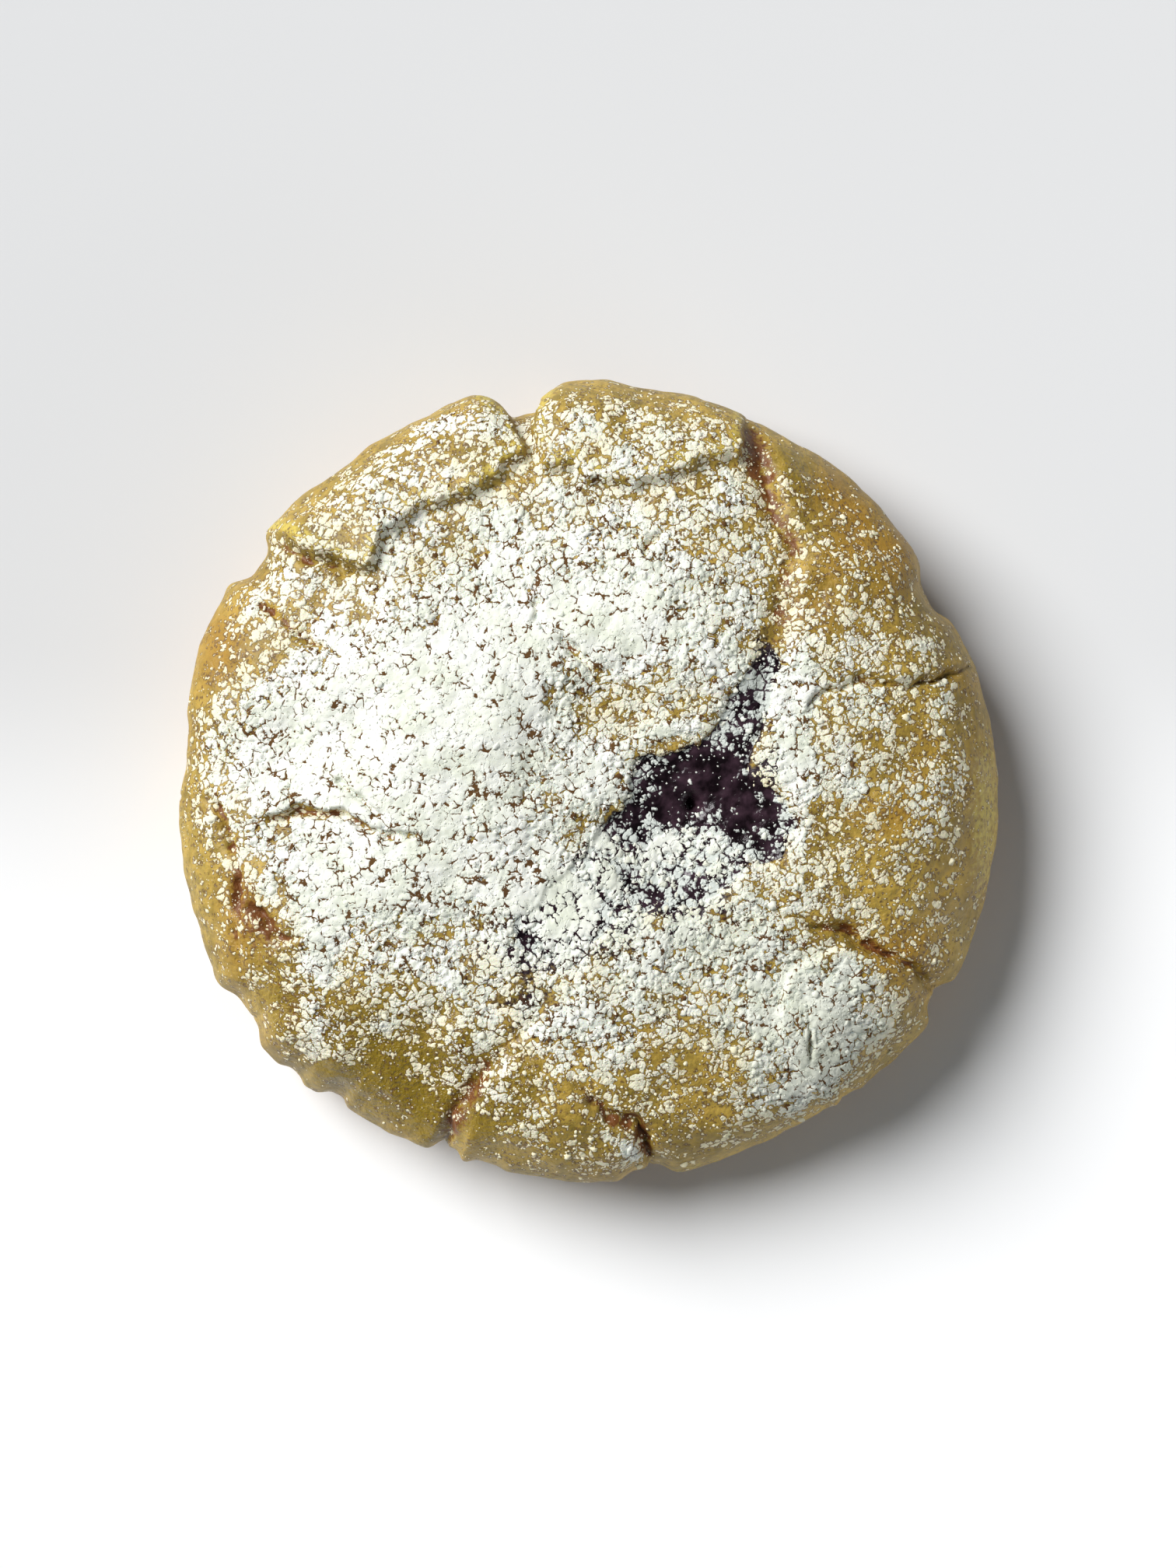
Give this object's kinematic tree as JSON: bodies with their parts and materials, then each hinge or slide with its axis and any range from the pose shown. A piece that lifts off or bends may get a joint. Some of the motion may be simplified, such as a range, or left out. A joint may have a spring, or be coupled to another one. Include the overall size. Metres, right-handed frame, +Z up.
{
  "type": "cherry clafoutis cookie",
  "caption": "Thick round cookie with a cracked golden crust and dark cherry filling showing in its split top, resting on a flat base.",
  "frame": {"origin": "centre of the flat base, under the middle of the cookie's bounding box", "axes": "+Z up through the cracked top; +Y towards the wide notch in the far rim; +X to the right seen from above"},
  "size_m": [0.0912, 0.0894, 0.0247],
  "materials": {
    "dough": "baked golden crust, slightly buttery",
    "filling": "set dark cherry filling, wet sheen",
    "sugar": "dusted powdered sugar"
  },
  "bodies": {
    "root": {"cookie_dough": "dough", "cherry_filling": "filling"}
  },
  "joints": []
}
